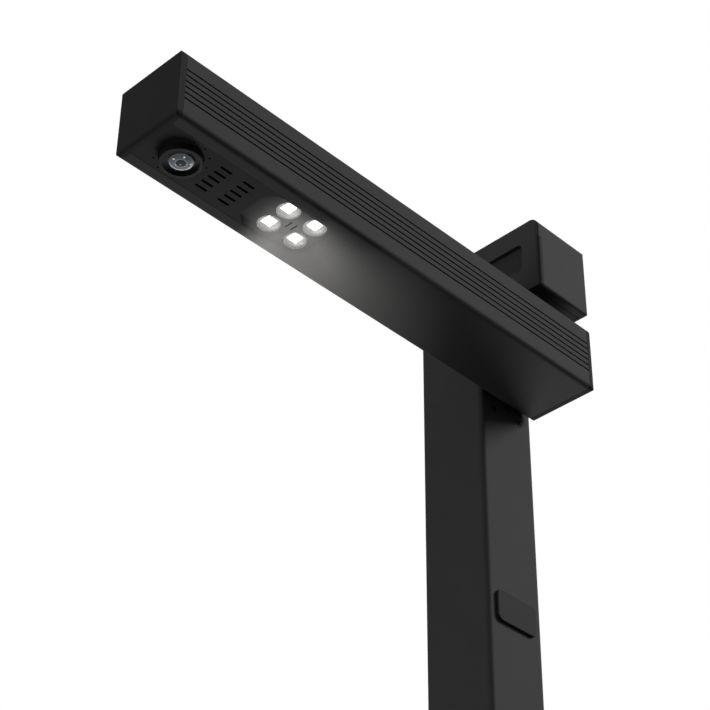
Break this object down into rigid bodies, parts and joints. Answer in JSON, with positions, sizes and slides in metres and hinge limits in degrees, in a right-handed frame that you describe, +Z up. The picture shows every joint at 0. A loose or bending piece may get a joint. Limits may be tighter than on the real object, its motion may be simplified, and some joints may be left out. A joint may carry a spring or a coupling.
{
  "type": "overhead document scanner",
  "caption": "Overhead document scanner with a camera and lamp arm that folds down beside a square column on a weighted base.",
  "frame": {"origin": "point on the table under the column's axis, in the plane of the rubber sheet under the base", "axes": "+X to the right of the arm, -Y towards the camera end of the arm, +Z up along the column"},
  "size_m": [0.17, 0.3113, 0.4243],
  "materials": {
    "arm_paint": "fine satin powder coat",
    "column_paint": "fine satin powder coat",
    "cap_plastic": "fine matte mould texture",
    "head_plastic": "fine matte mould texture",
    "base_plastic": "fine matte mould texture",
    "panel_plastic": "matte",
    "hood_plastic": "deep matte black",
    "key_plastic": "satin",
    "sheet_rubber": "matte",
    "pad_rubber": "matte",
    "steel": "turned",
    "screw_black": "black oxide",
    "ballast_steel": "cut plate",
    "cast_alloy": "as cast",
    "sink_alloy": "extruded",
    "bronze": "sintered bronze",
    "board_green": "solder mask",
    "board_white": "white solder mask",
    "wire_black": "matte",
    "ribbon_film": "satin film",
    "lens_glass": "coated and polished",
    "lamp_lens": "clear silicone dome",
    "lamp_light": "lit white light chip",
    "sensor_silicon": "glossy"
  },
  "bodies": {
    "stand": {"base_sheet": "sheet_rubber", "ballast_plate": "ballast_steel", "base_shell": "base_plastic", "base_screws": "steel", "base_board": "board_green", "usb_socket": "steel", "board_screws": "steel", "column_foot": "cast_alloy", "foot_screws": "steel", "column_tube": "column_paint", "column_screws": "screw_black", "bumper_pad": "pad_rubber", "hinge_block": "cast_alloy", "hinge_screws": "screw_black", "hinge_bush": "bronze", "stop_pin": "steel", "head_floor": "cap_plastic", "floor_screws": "steel", "head_shell": "head_plastic", "shell_screws": "screw_black", "column_cable": "wire_black"},
    "arm": {"hinge_shaft": "steel", "face_washer": "bronze", "friction_washer": "bronze", "stop_disc": "steel", "disc_springs": "steel", "lock_nut": "steel", "flange_screws": "screw_black", "arm_tube": "arm_paint", "front_cap": "cap_plastic", "back_cap": "cap_plastic", "camera_panel": "panel_plastic", "lens_hood": "hood_plastic", "lens_barrel": "hood_plastic", "lens_glass": "lens_glass", "lens_rear": "lens_glass", "lens_holder": "hood_plastic", "camera_board": "board_green", "image_sensor": "sensor_silicon", "camera_screws": "steel", "speaker": "hood_plastic", "led_tray": "panel_plastic", "led_lenses": "lamp_lens", "led_chips": "lamp_light", "led_board": "board_white", "heat_sink": "sink_alloy", "lamp_screws": "steel", "arm_board": "board_green", "ribbon_cable": "ribbon_film", "arm_cable": "wire_black"},
    "power_key": {"power_button": "key_plastic"},
    "light_key": {"light_button": "key_plastic"}
  },
  "joints": [
    {"name": "arm_fold", "type": "hinge", "parent": "stand", "child": "arm", "pos_m": [0, 0, 0.3485], "axis": [1, 0, 0], "range_deg": [0, 90]},
    {"name": "power_press", "type": "slide", "parent": "stand", "child": "power_key", "axis": [0, 0, -1], "range_m": [0, 0.001], "stiffness_N_per_m": 700, "springref_m": -0.001},
    {"name": "light_press", "type": "slide", "parent": "stand", "child": "light_key", "axis": [0, 0, -1], "range_m": [0, 0.001], "stiffness_N_per_m": 700, "springref_m": -0.001}
  ]
}
